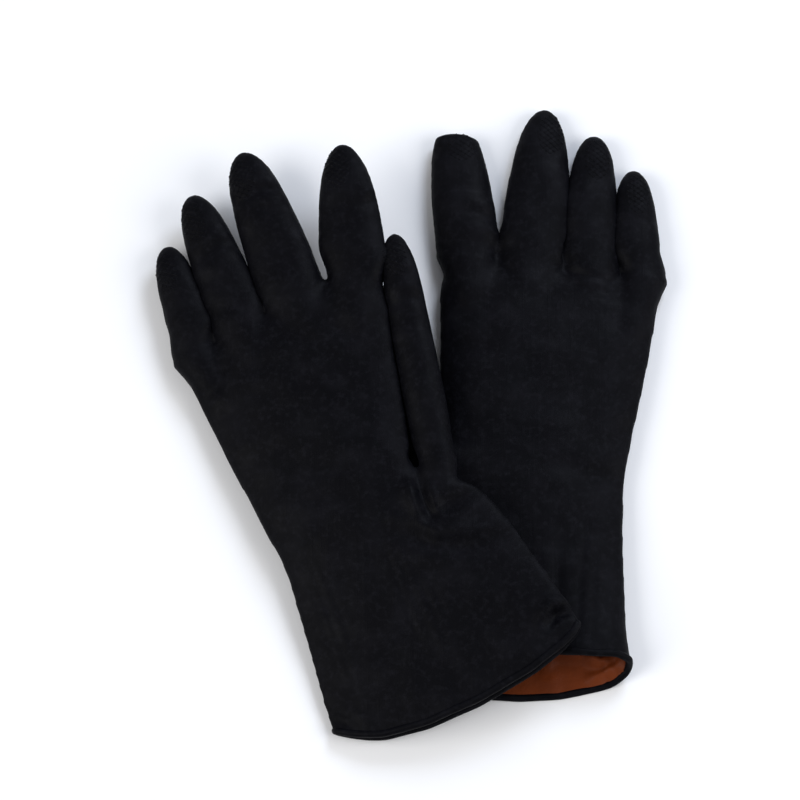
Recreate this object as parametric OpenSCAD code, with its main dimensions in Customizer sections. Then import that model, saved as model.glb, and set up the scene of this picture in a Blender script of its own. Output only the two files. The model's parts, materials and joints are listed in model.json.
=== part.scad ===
// Pair of dipped rubber electrical insulating gloves, lying palm up with the right glove over
// the left one. Each glove is a black outer layer, an orange inner layer and a rolled cuff hem.
// The layers are divided where a wearer's fingers and thumb bend, so that each stall can move.
//
// Each glove is drawn in its own frame: x runs to the thumb side, y runs from the wrist (0) to
// the fingers, and z runs up from the back of the hand, on which the glove lies.

/* [Hand] */
// Distance from the wrist to the line where the fingers bend
palm_len = 118; // [100:1:145]
// Distance from the wrist to the hem of the cuff
cuff_len = 119; // [80:1:200]
// Width of the wrist
wrist_w = 117; // [104:1:130]
// Width of the hem of the upper glove, which lies nearly flat
flat_hem_w = 156; // [130:1:180]
// Width of the hem of the lower glove, which stands open
open_hem_w = 123; // [105:1:130]
// Height of the palm
palm_h = 20; // [16:1:24]
// Height of the upper glove's hem
flat_hem_h = 11; // [9:1:14]
// Mean height of the lower glove's open hem
open_hem_h = 19; // [16:1:22]
// How far the hem's corners stand back from its middle
hem_bow = 13; // [4:1:20]
// How far the top of the open hem stands back from its bottom
hem_lip = 22; // [0:1:26]

/* [Fingers] */
// Length of the index stall from the bend line
index_len = 98; // [70:1:120]
// Length of the middle stall
middle_len = 111; // [80:1:135]
// Length of the ring stall
ring_len = 101; // [75:1:125]
// Length of the little stall
little_len = 81; // [60:1:100]
// Width of the index stall
index_w = 32; // [26:1:36]
// Width of the middle stall
middle_w = 33; // [27:1:37]
// Width of the ring stall
ring_w = 30; // [25:1:35]
// Width of the little stall
little_w = 26; // [21:1:30]
// Height of every finger stall
finger_h = 17; // [14:1:19]

/* [Thumbs] */
// Length of the upper glove's thumb from the fold at its base
right_thumb_len = 147; // [110:1:170]
// Width of the upper glove's thumb, which lies rolled towards the palm
right_thumb_w = 24; // [20:1:25]
// Height of the upper glove's thumb
right_thumb_h = 17; // [14:1:19]
// Length of the lower glove's thumb from the side of the palm
left_thumb_len = 110; // [85:1:130]
// Width of the lower glove's thumb
left_thumb_w = 27; // [23:1:30]
// Height of the lower glove's thumb, which is pressed down by the upper glove
left_thumb_h = 15; // [12:1:16]

/* [Rubber] */
// Thickness of the black outer layer
outer_wall = 1.2; // [0.8:0.1:1.5]
// Thickness of the orange inner layer
inner_wall = 0.8; // [0.5:0.1:1.2]
// Thickness of the rolled hem
roll_d = 3.6; // [2.5:0.1:4]

/* [Fit] */
// Gap between the two layers
bond_gap = 0.1; // [0.05:0.05:0.3]
// Gap between neighbouring stalls at their roots
stall_gap = 1.5; // [1:0.1:3]
// Gap between a stall's root and the hand, where the glove bends
bend_gap = 0.6; // [0.4:0.1:1.5]

/* [Lay] */
// Turn of the upper glove, anticlockwise from above
upper_turn = 25.5; // [15:0.5:35]
// Tilt of the upper glove where it lies over the lower one
upper_tilt = 12; // [11:0.5:18]
// Turn of the lower glove, clockwise from above
lower_turn = 7; // [0:0.5:15]

/* [Hidden] */

// Corners of a section, rings of a stall and sides of the rolled hem
hand_sides = 28;
stall_sides = 16;
stall_rings = 8;
roll_sides = 8;
// Sides of the hand each way from its thumb edge that the thumb opening takes
mouth_sides = 4;

// Colours of the rubber
black_rubber = [0.07, 0.07, 0.08];
orange_rubber = [0.85, 0.32, 0.10];

// Names of the two gloves, of the layers and of the fingers
UPPER = 0;
LOWER = 1;
SHELL = 0;
LINER = 1;
INDEX = 0;
MIDDLE = 1;
RING = 2;
LITTLE = 3;

// A section's widest height as a share of its height, how fast its underside falls to the flat
// back, and how square its sides are
widest = 0.42;
underside = 1.3;
squareness = 0.85;
// Power that makes a fingertip's outline, and the height of its point as a share of the stall's
tip_power = 4;
tip_rise = 0.35;
// Share of a stall's length over which its rings turn from the bend line to square
turn_share = 0.3;

// Sizes of the four fingers, in the order of their names
finger_len = [index_len, middle_len, ring_len, little_len];
finger_w = [index_w, middle_w, ring_w, little_w];
// Lean of each finger towards the thumb: the upper glove's, then the lower glove's
finger_lean = [[18, 6, 5, 6], [12, 3, 5, 7]];

// The knuckles are as wide as the four stalls and the gaps between them
knuckle_half = (index_w + middle_w + ring_w + little_w) / 2 + 1.5 * stall_gap;
wrist_half = wrist_w / 2;

// Thumbs: root centre, lean, length, width and height
thumb_root = [[41, 4], [66.5, 14]];
thumb_lean = [15.5, 14];
thumb_len = [right_thumb_len, left_thumb_len];
thumb_w = [right_thumb_w, left_thumb_w];
thumb_h = [right_thumb_h, left_thumb_h];
// Clear space beside the thumb's root, towards the cuff
shoulder_margin = 1;

// Wrist centres of the gloves, and the line on its back about which the upper glove tilts
upper_place = [-17, -58, 0];
lower_place = [69, -39, 0];
tilt_line = 66;

// Hems: half widths towards the little finger and towards the thumb, height, lopsidedness and how
// far the crown stands back
hem_little = [flat_hem_w / 2, open_hem_w * 0.58];
hem_thumb = [flat_hem_w / 2, open_hem_w * 0.42];
hem_h = [flat_hem_h, open_hem_h];
hem_wedge = [0, 0.56];
hem_back = [0, hem_lip];

// Smooth step from 0 to 1
function ease(t) = let (u = min(1, max(0, t))) u * u * (3 - 2 * u);
function mix(a, b, t) = a + (b - a) * t;
function signed_power(v, p) = sign(v) * pow(abs(v), p);

// Depths of a layer's two faces under the glove's outside
function faces_of(layer) = layer == SHELL
    ? [0, outer_wall]
    : [outer_wall + bond_gap, outer_wall + bond_gap + inner_wall];

// Height of a section's outline, from 0 at the flat back to 1 at the crown
function outline_rise(s) = s >= 0
    ? widest + (1 - widest) * s
    : widest * max(0, 1 + underside * s);

// One section: centre, half width, direction, low edge, height, lopsidedness, bow, and how far
// its crown stands back
function section(at, half, turn, low, tall, wedge, bow, lip, sides) = [
    for (i = [0 : sides - 1])
        let (
            a = 360 * i / sides,
            side = signed_power(cos(a), squareness),
            x = half * side,
            rise = outline_rise(sin(a)) * (1 - wedge * side)
        )
        [
            at[0] + x * cos(turn),
            at[1] - x * sin(turn) + bow * side * side + lip * outline_rise(sin(a)),
            low + tall * rise
        ]
];

// Corners of a thumb's shoulder on the hand: reach is along the root, from its centre
function shoulder(glove, reach) =
    let (lean = thumb_lean[glove])
    [
        thumb_root[glove][0] + reach * cos(lean) - bend_gap * sin(lean),
        thumb_root[glove][1] - reach * sin(lean) - bend_gap * cos(lean)
    ];
function outer_shoulder(glove) = shoulder(glove, thumb_w[glove] / 2 + shoulder_margin);
function inner_shoulder(glove) = shoulder(glove, -thumb_w[glove] / 2 - stall_gap);

// Thumb side edge of the palm, which follows the thumb up to the knuckles
function palm_edge(glove, y) =
    let (inner = inner_shoulder(glove))
    min(knuckle_half, inner[0] + (y - inner[1]) * tan(thumb_lean[glove]));

// Stations of the cuff: share of the way from the wrist to the hem
function cuff_station(glove, share) = [
    -cuff_len * share,
    mix(wrist_half, hem_little[glove], pow(share, 1.1)),
    mix(wrist_half, hem_thumb[glove], pow(share, 0.9)),
    mix(palm_h - 2, hem_h[glove], share * share),
    hem_wedge[glove] * share,
    hem_bow * share * share,
    hem_back[glove] * pow(share, 3)
];

// Stations of the palm: share of the way from the thumb's shoulder to the knuckles
function palm_station(glove, share) =
    let (
        start = inner_shoulder(glove)[1],
        y = mix(start, palm_len - bend_gap / 2, share)
    )
    [
        y,
        mix(wrist_half, knuckle_half, ease(share)),
        share == 1 ? knuckle_half : palm_edge(glove, y),
        mix(palm_h, finger_h, share * share),
        0, 0, 0
    ];

// All stations of a hand: y, little side, thumb side, height, lopsidedness, bow and lip
function stations(glove) =
    let (outer = outer_shoulder(glove))
    concat(
        [for (share = [1, 0.9, 0.75, 0.55, 0.35, 0.15]) cuff_station(glove, share)],
        [[mix(-0.15 * cuff_len, outer[1], 0.6), wrist_half, mix(wrist_half, outer[0], 0.4), palm_h - 2, 0, 0, 0]],
        [[outer[1], wrist_half, outer[0], palm_h - 1, 0, 0, 0]],
        [for (share = [0, 0.2, 0.4, 0.6, 0.8, 1]) palm_station(glove, share)]
    );
// Number of the station at the thumb's outer shoulder, below the opening
mouth_station = 7;

function hand_ring(station, depth, sides) = section(
    [(station[2] - station[1]) / 2, station[0]],
    (station[1] + station[2]) / 2 - depth, 0,
    depth, station[3] - 2 * depth, station[4], station[5], station[6], sides
);

// Rings of a stall, from its root to near its tip: place, lean, length, width and height
function stall_surface(root, lean, len, w, tall, depth, root_turn) = [
    for (k = [0 : stall_rings - 1])
        let (
            t = sin(90 * k / stall_rings),
            shape = sqrt(1 - pow(t, tip_power)),
            along = (len - depth) * t,
            high = (tall - 2 * depth) * shape,
            turn = mix(root_turn, lean, ease(t / turn_share))
        )
        each section(
            [root[0] + along * sin(lean), root[1] + along * cos(lean)],
            (w / 2 - depth) * shape, turn,
            depth + (tall - 2 * depth) * tip_rise * (1 - shape), high, 0, 0, 0, stall_sides
        )
];
function stall_tip(root, lean, len, tall, depth) = [
    root[0] + (len - depth) * sin(lean),
    root[1] + (len - depth) * cos(lean),
    depth + (tall - 2 * depth) * (tip_rise + widest * 0.1)
];

// Faces of a tube of rings. Cells for which skip is true are left open
function tube_faces(first, rings, sides, inward, skip) = [
    for (k = [0 : rings - 2], j = [0 : sides - 1])
        if (!skip[k * sides + j])
            let (
                a = first + k * sides + j,
                b = first + k * sides + (j + 1) % sides,
                c = b + sides,
                d = a + sides
            )
            each inward ? [[a, c, b], [a, d, c]] : [[a, b, c], [a, c, d]]
];
// Two triangles that join an edge of the outer face to the same edge of the inner face
function wall(p, q, deep) = [[q, p, q + deep], [q + deep, p, p + deep]];

// Finger and thumb stall: a hollow cup that is open at its root
module stall(root, lean, len, w, tall, layer, root_turn) {
    faces_at = faces_of(layer);
    n = stall_rings * stall_sides;
    deep = n + 1;
    last = n - stall_sides;
    none = [for (i = [0 : n]) false];
    polyhedron(
        points = concat(
            stall_surface(root, lean, len, w, tall, faces_at[0], root_turn),
            [stall_tip(root, lean, len, tall, faces_at[0])],
            stall_surface(root, lean, len, w, tall, faces_at[1], root_turn),
            [stall_tip(root, lean, len, tall, faces_at[1])]
        ),
        faces = concat(
            tube_faces(0, stall_rings, stall_sides, false, none),
            tube_faces(deep, stall_rings, stall_sides, true, none),
            [for (j = [0 : stall_sides - 1]) [last + j, last + (j + 1) % stall_sides, n]],
            [for (j = [0 : stall_sides - 1]) [deep + last + (j + 1) % stall_sides, deep + last + j, deep + n]],
            [for (j = [0 : stall_sides - 1]) each wall(j, (j + 1) % stall_sides, deep)]
        )
    );
}

// Hand and cuff: a tube that is open at the hem, at the knuckles and at the thumb
module hand(glove, layer) {
    faces_at = faces_of(layer);
    rows = stations(glove);
    rings = len(rows);
    deep = rings * hand_sides;
    low = mouth_station * hand_sides;
    high = low + hand_sides;
    last = deep - hand_sides;
    open = [
        for (k = [0 : rings - 1], j = [0 : hand_sides - 1])
            k == mouth_station && (j < mouth_sides || j >= hand_sides - mouth_sides)
    ];
    mouth = [for (j = [-mouth_sides : mouth_sides - 1]) (j + hand_sides) % hand_sides];
    start = hand_sides - mouth_sides;
    end = mouth_sides;
    polyhedron(
        points = concat(
            [for (row = rows) each hand_ring(row, faces_at[0], hand_sides)],
            [for (row = rows) each hand_ring(row, faces_at[1], hand_sides)]
        ),
        faces = concat(
            tube_faces(0, rings, hand_sides, false, open),
            tube_faces(deep, rings, hand_sides, true, open),
            [for (j = [0 : hand_sides - 1]) each wall(j, (j + 1) % hand_sides, deep)],
            [for (j = [0 : hand_sides - 1]) each wall(last + (j + 1) % hand_sides, last + j, deep)],
            [for (j = mouth) each wall(low + (j + 1) % hand_sides, low + j, deep)],
            [for (j = mouth) each wall(high + j, high + (j + 1) % hand_sides, deep)],
            wall(low + start, high + start, deep),
            wall(high + end, low + end, deep)
        )
    );
}

// Rolled hem: a bead that runs round the cuff's open end
module cuff_roll(glove) {
    radius = roll_d / 2;
    path = hand_ring(stations(glove)[0], radius, hand_sides);
    ahead = radius * 1.3 + bond_gap;
    n = hand_sides;
    none = [for (i = [0 : n * roll_sides]) false];
    points = [
        for (i = [0 : n - 1])
            let (
                step = path[(i + 1) % n] - path[(i + n - 1) % n],
                size = norm([step[0], step[2]]),
                out = [step[2], 0, -step[0]] / size
            )
            for (j = [0 : roll_sides - 1])
                let (a = 360 * j / roll_sides)
                path[i] + radius * cos(a) * out + [0, -ahead - radius * sin(a), 0]
    ];
    polyhedron(
        points = points,
        faces = concat(
            tube_faces(0, n, roll_sides, false, none),
            [for (j = [0 : roll_sides - 1]) let (k = (j + 1) % roll_sides, last = (n - 1) * roll_sides)
                each [[last + j, last + k, k], [last + j, k, j]]]
        )
    );
}

// Distance of a finger's root centre from the little side of the knuckles
function root_x(n) = n == LITTLE
    ? finger_w[LITTLE] / 2 - knuckle_half
    : root_x(n + 1) + (finger_w[n + 1] + finger_w[n]) / 2 + stall_gap;

module finger(glove, n, layer) {
    stall(
        [root_x(n), palm_len + bend_gap / 2], finger_lean[glove][n],
        finger_len[n], finger_w[n], finger_h, layer, 0
    );
}

module thumb(glove, layer) {
    stall(
        thumb_root[glove], thumb_lean[glove],
        thumb_len[glove], thumb_w[glove], thumb_h[glove], layer, thumb_lean[glove]
    );
}

// Places a glove: the right one is tilted over the left one, and the left one is its mirror image
module lay(glove) {
    if (glove == UPPER)
        translate(upper_place)
            rotate([0, 0, upper_turn])
                translate([-tilt_line, 0, 0])
                    rotate([0, -upper_tilt, 0])
                        translate([tilt_line, 0, 0])
                            children();
    else
        translate(lower_place)
            rotate([0, 0, -lower_turn])
                mirror([1, 0, 0])
                    children();
}

module layer_color(layer) {
    color(layer == SHELL ? black_rubber : orange_rubber)
        children();
}
module hand_layer(glove, layer) {
    layer_color(layer) lay(glove) hand(glove, layer);
}
module finger_layer(glove, n, layer) {
    layer_color(layer) lay(glove) finger(glove, n, layer);
}
module thumb_layer(glove, layer) {
    layer_color(layer) lay(glove) thumb(glove, layer);
}
module roll_layer(glove) {
    layer_color(SHELL) lay(glove) cuff_roll(glove);
}

module left_hand_shell() hand_layer(LOWER, SHELL);
module left_hand_liner() hand_layer(LOWER, LINER);
module left_cuff_roll() roll_layer(LOWER);
module left_thumb_shell() thumb_layer(LOWER, SHELL);
module left_thumb_liner() thumb_layer(LOWER, LINER);
module left_index_shell() finger_layer(LOWER, INDEX, SHELL);
module left_index_liner() finger_layer(LOWER, INDEX, LINER);
module left_middle_shell() finger_layer(LOWER, MIDDLE, SHELL);
module left_middle_liner() finger_layer(LOWER, MIDDLE, LINER);
module left_ring_shell() finger_layer(LOWER, RING, SHELL);
module left_ring_liner() finger_layer(LOWER, RING, LINER);
module left_little_shell() finger_layer(LOWER, LITTLE, SHELL);
module left_little_liner() finger_layer(LOWER, LITTLE, LINER);
module right_hand_shell() hand_layer(UPPER, SHELL);
module right_hand_liner() hand_layer(UPPER, LINER);
module right_cuff_roll() roll_layer(UPPER);
module right_thumb_shell() thumb_layer(UPPER, SHELL);
module right_thumb_liner() thumb_layer(UPPER, LINER);
module right_index_shell() finger_layer(UPPER, INDEX, SHELL);
module right_index_liner() finger_layer(UPPER, INDEX, LINER);
module right_middle_shell() finger_layer(UPPER, MIDDLE, SHELL);
module right_middle_liner() finger_layer(UPPER, MIDDLE, LINER);
module right_ring_shell() finger_layer(UPPER, RING, SHELL);
module right_ring_liner() finger_layer(UPPER, RING, LINER);
module right_little_shell() finger_layer(UPPER, LITTLE, SHELL);
module right_little_liner() finger_layer(UPPER, LITTLE, LINER);

left_hand_shell();
left_hand_liner();
left_cuff_roll();
left_thumb_shell();
left_thumb_liner();
left_index_shell();
left_index_liner();
left_middle_shell();
left_middle_liner();
left_ring_shell();
left_ring_liner();
left_little_shell();
left_little_liner();
right_hand_shell();
right_hand_liner();
right_cuff_roll();
right_thumb_shell();
right_thumb_liner();
right_index_shell();
right_index_liner();
right_middle_shell();
right_middle_liner();
right_ring_shell();
right_ring_liner();
right_little_shell();
right_little_liner();
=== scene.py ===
"""Pair of dipped rubber insulating gloves, laid palm up with the right glove over the left one.

Each glove is welded from a hand and five stalls with the fingers fanned out, smoothed, and then
closed to the way it lies. The skin is creased and dented, given its thickness and its orange
lining, and cut where the fingers and the thumb bend. A rolled hem and raised grips go on last.

A glove's own frame: x runs to the thumb side, y from the wrist (0) to the fingertips, z up from
the back of the hand. Lengths are in metres.
"""

import json
import math

import bpy
import numpy as np
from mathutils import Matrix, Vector, noise
from mathutils.bvhtree import BVHTree


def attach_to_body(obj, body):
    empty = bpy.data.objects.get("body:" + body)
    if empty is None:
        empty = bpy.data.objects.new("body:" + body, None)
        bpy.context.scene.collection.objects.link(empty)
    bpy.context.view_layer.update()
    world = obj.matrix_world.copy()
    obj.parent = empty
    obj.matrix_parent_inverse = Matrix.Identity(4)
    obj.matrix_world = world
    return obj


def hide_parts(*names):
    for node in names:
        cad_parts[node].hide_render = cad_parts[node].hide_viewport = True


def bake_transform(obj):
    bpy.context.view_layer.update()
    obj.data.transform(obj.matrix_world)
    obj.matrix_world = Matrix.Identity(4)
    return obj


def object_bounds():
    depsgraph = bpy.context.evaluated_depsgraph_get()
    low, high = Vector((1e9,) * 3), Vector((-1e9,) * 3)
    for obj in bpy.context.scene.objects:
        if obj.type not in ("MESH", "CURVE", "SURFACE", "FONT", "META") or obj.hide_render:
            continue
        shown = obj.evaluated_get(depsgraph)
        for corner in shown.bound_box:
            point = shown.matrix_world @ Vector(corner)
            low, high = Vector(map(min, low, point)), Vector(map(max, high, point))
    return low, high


bl_info = {
    "name": "Insulating Gloves",
    "version": (1, 0, 0),
    "blender": (4, 5, 0),
    "location": "3D View > Sidebar > Gloves",
    "description": "Builds a pair of dipped rubber gloves around their packed model",
    "category": "Mesh",
}

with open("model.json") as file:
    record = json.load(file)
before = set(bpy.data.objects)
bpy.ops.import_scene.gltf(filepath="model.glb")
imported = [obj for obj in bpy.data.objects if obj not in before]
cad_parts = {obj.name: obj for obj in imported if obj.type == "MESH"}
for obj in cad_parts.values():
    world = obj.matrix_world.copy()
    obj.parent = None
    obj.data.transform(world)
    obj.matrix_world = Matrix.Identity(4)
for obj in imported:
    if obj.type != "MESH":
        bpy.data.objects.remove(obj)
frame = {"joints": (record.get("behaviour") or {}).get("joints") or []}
CAD_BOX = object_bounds()
JOINTS = {j["name"]: j for j in frame["joints"]}

MM = 0.001
SIDES = ("right", "left")
FINGERS = ("index", "middle", "ring", "little")
STALLS = ("thumb",) + FINGERS


# ---------------------------------------------------------------- sizes and looks

class GloveSizes(bpy.types.PropertyGroup):
    palm_length: bpy.props.FloatProperty(
        name="Palm length", description="From the wrist to the line where the fingers bend",
        default=0.118, min=0.09, max=0.15, subtype="DISTANCE", unit="LENGTH")
    cuff_length: bpy.props.FloatProperty(
        name="Cuff length", description="From the wrist to the hem",
        default=0.119, min=0.08, max=0.2, subtype="DISTANCE", unit="LENGTH")
    wrist_width: bpy.props.FloatProperty(
        name="Wrist width", description="Width across the wrist",
        default=0.117, min=0.1, max=0.13, subtype="DISTANCE", unit="LENGTH")
    flat_hem_width: bpy.props.FloatProperty(
        name="Flat hem width", description="Hem of the upper glove, which lies nearly flat",
        default=0.156, min=0.13, max=0.18, subtype="DISTANCE", unit="LENGTH")
    open_hem_width: bpy.props.FloatProperty(
        name="Open hem width", description="Hem of the lower glove, which stands open",
        default=0.123, min=0.1, max=0.13, subtype="DISTANCE", unit="LENGTH")
    skin_thickness: bpy.props.FloatProperty(
        name="Skin thickness", description="Thickness of the black outer rubber",
        default=0.0012, min=0.0008, max=0.0015, subtype="DISTANCE", unit="LENGTH")
    lining_thickness: bpy.props.FloatProperty(
        name="Lining thickness", description="Thickness of the orange inner rubber",
        default=0.0008, min=0.0005, max=0.0012, subtype="DISTANCE", unit="LENGTH")
    roll_thickness: bpy.props.FloatProperty(
        name="Roll thickness", description="Thickness of the rolled hem",
        default=0.0042, min=0.003, max=0.005, subtype="DISTANCE", unit="LENGTH")
    weld_grid: bpy.props.FloatProperty(
        name="Weld grid", description="Grid on which a glove's stalls are welded to its hand",
        default=0.0015, min=0.001, max=0.003, subtype="DISTANCE", unit="LENGTH")


class RubberFinish(bpy.types.PropertyGroup):
    outer_colour: bpy.props.FloatVectorProperty(
        name="Outer colour", description="Colour of the outer rubber",
        default=(0.0019, 0.0019, 0.0029), min=0, max=1, subtype="COLOR")
    lining_colour: bpy.props.FloatVectorProperty(
        name="Lining colour", description="Colour of the inner rubber",
        default=(0.14, 0.029, 0.007), min=0, max=1, subtype="COLOR")
    roughness: bpy.props.FloatProperty(
        name="Roughness", description="How matte the outer rubber is",
        default=0.52, min=0.2, max=1, subtype="FACTOR")
    grip_spacing: bpy.props.FloatProperty(
        name="Grip spacing", description="Distance between the ribs of the fingertip grip",
        default=0.0034, min=0.002, max=0.005, subtype="DISTANCE", unit="LENGTH")
    grip_height: bpy.props.FloatProperty(
        name="Grip height", description="How far the grip's studs stand up",
        default=0.0007, min=0.0003, max=0.0015, subtype="DISTANCE", unit="LENGTH")


class StageSetup(bpy.types.PropertyGroup):
    floor_colour: bpy.props.FloatVectorProperty(
        name="Floor colour", description="Colour of the plain floor",
        default=(0.89, 0.89, 0.90), min=0, max=1, subtype="COLOR")
    view_elevation: bpy.props.FloatProperty(
        name="View elevation", description="Angle of the camera above the floor",
        default=math.radians(70), min=0.1, max=1.5, subtype="ANGLE", unit="ROTATION")
    view_distance: bpy.props.FloatProperty(
        name="View distance", description="Distance of the camera from the gloves",
        default=2.4, min=1, max=5, subtype="DISTANCE", unit="LENGTH")
    view_width: bpy.props.FloatProperty(
        name="View width", description="Width of the picture at the gloves",
        default=0.457, min=0.3, max=1, subtype="DISTANCE", unit="LENGTH")


def sizes():
    return bpy.context.scene.glove_sizes


def finish():
    return bpy.context.scene.glove_finish


# ---------------------------------------------------------------- how each glove lies

# Stalls, in millimetres and degrees: width, height, length, lean to the thumb side, how far it
# is fanned out while it is welded, and how blunt its tip is. Roots are where each stall starts.
# Edges, heights and hems are lines of points: y with x, y with height, and x with y.
LAY = {
    "right": {
        "index": (38, 17, 93.5, 20, 8, 3.3),
        "middle": (37.5, 17.5, 113, 6.3, 2, 4.0),
        "ring": (32.5, 17, 104, 4.4, -6, 4.4),
        "little": (27, 16, 84, 7.8, -17, 4.6),
        "thumb": (23.5, 15, 144.5, 15.5, 15, 8),
        "roots": {"thumb": (43.2, 4), "index": 47.2, "middle": 12.75, "ring": -20.25, "little": -49.5},
        "little_edge": (
            (-130, 80), (-119, 78), (-87, 73), (-59, 68), (-34, 63), (-10, 59), (2.5, 58.3),
            (44, 60), (101, 61.4), (118, 61), (127, 58.5), (134, 54)),
        "thumb_edge": (
            (-130, 72), (-118, 74.5), (-110, 76.5), (-100, 75.5), (-56, 69.5), (-36, 66), (-22, 62.5),
            (-12, 58), (-6, 51), (-1, 45), (6.5, 31), (26, 36.6), (54, 45.6), (79, 52.6), (100, 59.5),
            (112, 63), (118, 63.6), (127, 61), (134, 57)),
        "height": (
            (-130, 10.5), (-119, 11), (-60, 15.5), (-10, 18.5), (20, 20), (80, 19.5),
            (112, 17.5), (120, 16), (127, 14), (134, 10.5)),
        "lopsided": ((-119, 0), (0, 0)),
        "square": ((-119, 0.85), (0, 0.85)),
        "hem": (
            (-82, -96), (-74, -99), (-66, -105), (-58, -110.5), (-49, -115), (-25, -120.5),
            (6, -122.5), (40, -120.5), (60, -116.5), (69, -113.5), (75, -109), (78, -103), (84, -98)),
        "hem_top": None,
        "upper": True,
    },
    "left": {
        "index": (36, 17, 104, 12.6, 5, 5.5),
        "middle": (38.5, 17.5, 115.5, 2.2, 2, 4.0),
        "ring": (31.5, 17, 102.5, 4.4, -7, 4.6),
        "little": (27, 16.5, 84, 7.8, -18, 4.8),
        "thumb": (27, 15, 110, 14, 8, 4.0),
        "roots": {"thumb": (66.5, 14), "index": 46.9, "middle": 12.9, "ring": -20.6, "little": -49.2},
        "little_edge": (
            (-130, 74), (-119, 73), (-104, 70), (-94, 66.4), (-83, 63.6), (-60, 60.3), (-25, 55.7),
            (10, 53), (35, 54.6), (60, 57), (87, 59.3), (112, 60.8), (118, 60.4), (127, 58), (134, 54)),
        "thumb_edge": (
            (-130, 51), (-119, 52), (-60, 55.5), (-12, 59), (0, 66), (10.5, 80), (17, 51.5),
            (45, 57), (70, 60.3), (85, 62), (109, 65.2), (118, 65), (127, 60.5), (134, 56)),
        "height": (
            (-130, 19.5), (-119, 19), (-95, 18.6), (-60, 18), (-10, 18.5), (20, 20), (80, 19.5),
            (112, 17.5), (120, 16), (127, 14), (134, 10.5)),
        "lopsided": ((-119, 0.62), (-60, 0.28), (0, 0)),
        "square": ((-119, 0.55), (-90, 0.62), (-40, 0.85)),
        "hem": (
            (-76, -95), (-70, -96), (-67, -97.5), (-65, -101), (-62, -103.5), (-57, -107), (-49, -110.5),
            (-30, -117), (-8, -121),
            (11, -122), (30, -122), (45, -118), (54, -112), (60, -108)),
        "hem_top": (
            (-76, -92), (-70, -92), (-66, -91.5), (-60, -91.5), (-46, -95.5), (-30, -97), (10, -98),
            (40, -99), (60, -101)),
        "upper": False,
    },
}
# The sizes that the lines above were drawn for
DRAWN = {"palm": 118, "cuff": 119, "wrist": 117, "flat": 156, "open": 123}
ROOT_INDEX = 46.75
# How deep the stalls reach into the hand while it is welded
ROOT_DEPTH = 22
# Section of the rubber: widest level, fall to the flat back and squareness of the sides
WIDEST = 0.42
UNDERSIDE = 1.3
SQUARENESS = 0.85
TIP_RISE = 0.35
# Where the skin is cut and starts to bend, past a finger's and past a thumb's root, and how far
# the bend runs
CUT_AHEAD = {"thumb": 2.0, "finger": 15.0}
# The left index finger's tip is folded over: where it is pressed flat, and how much is left of it
BLUNT_FROM = 91
BLUNT_SHARE = 0.28


def ease(t):
    t = np.clip(t, 0, 1)
    return t * t * (3 - 2 * t)


def unit(v):
    v = np.array(v, float)
    return v / np.linalg.norm(v)


def line_at(line, at):
    """Value of a line of points at a place."""
    line = np.array(line, float)
    return np.interp(at, line[:, 0], line[:, 1])


def cut_ahead(name):
    return CUT_AHEAD["thumb" if name == "thumb" else "finger"]


def hand_frame(side):
    """Origin and axes of a glove's own frame, from the joints of its fingers and thumb."""
    bend = JOINTS[side + "_index_bend"]
    axis = unit(bend["axis"])
    if LAY[side]["upper"]:
        up = unit(np.cross(JOINTS[side + "_thumb_bend"]["axis"], axis))
    else:
        up = unit(JOINTS[side + "_thumb_swing"]["axis"])
    ahead = np.cross(up, axis)
    across = axis if LAY[side]["upper"] else -axis
    root = np.array(bend["pos_m"])
    height = 17 * MM
    origin = root - across * ROOT_INDEX * MM - ahead * sizes().palm_length - up * height
    return origin, np.stack([across, ahead, up])


# ---------------------------------------------------------------- rings and tubes

def section(at, half, turn, low, tall, wedge=0.0, count=56, square=SQUARENESS):
    """A flat-backed, crowned ring in millimetres: centre, half width, turn, base and height."""
    a = np.linspace(0, 2 * np.pi, count, endpoint=False)
    side = np.sign(np.cos(a)) * np.abs(np.cos(a)) ** square
    rise = np.where(
        np.sin(a) >= 0,
        WIDEST + (1 - WIDEST) * np.sin(a),
        WIDEST * np.clip(1 + UNDERSIDE * np.sin(a), 0, None))
    x = half * side
    return np.stack([
        at[0] + x * math.cos(turn),
        at[1] - x * math.sin(turn),
        low + tall * rise * (1 - wedge * side)], axis=1)


def tube(rings):
    """Vertices and faces of a closed tube through rings of equal count."""
    n = len(rings[0])
    faces = []
    for k in range(len(rings) - 1):
        for j in range(n):
            a, b = k * n + j, k * n + (j + 1) % n
            faces.append((a, b, b + n, a + n))
    faces.append(tuple(reversed(range(n))))
    last = (len(rings) - 1) * n
    faces.append(tuple(range(last, last + n)))
    return np.concatenate(rings), faces


def stall_rings(root, lean, length, width, height, tip_power, flat_root):
    """Rings of a finger or thumb. It starts inside the hand and ends in a rounded tip."""
    rings = []
    steps = np.concatenate([[-ROOT_DEPTH / length], np.sin(np.linspace(0, 0.498 * np.pi, 26))])
    for t in steps:
        shape = math.sqrt(max(0.0, 1 - max(0.0, t) ** tip_power))
        swell = 1 + 0.04 * math.sin(math.pi * min(1, max(0, t) * 1.5))
        narrow = 1 - (0.13 if flat_root else 0.06) * (1 - float(ease((t * length - 4) / 24)))
        along = length * t
        tall = height * max(shape, 0.04) * (1 - 0.06 * math.sin(math.pi * max(0, t)))
        half = width / 2 * max(shape, 0.04) * swell * narrow
        turn = lean if not flat_root else lean * float(ease(t / 0.3))
        at = (root[0] + along * math.sin(lean), root[1] + along * math.cos(lean))
        low = height * TIP_RISE * (1 - shape)
        rings.append(section(at, half, turn, low, tall))
    return rings


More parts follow.
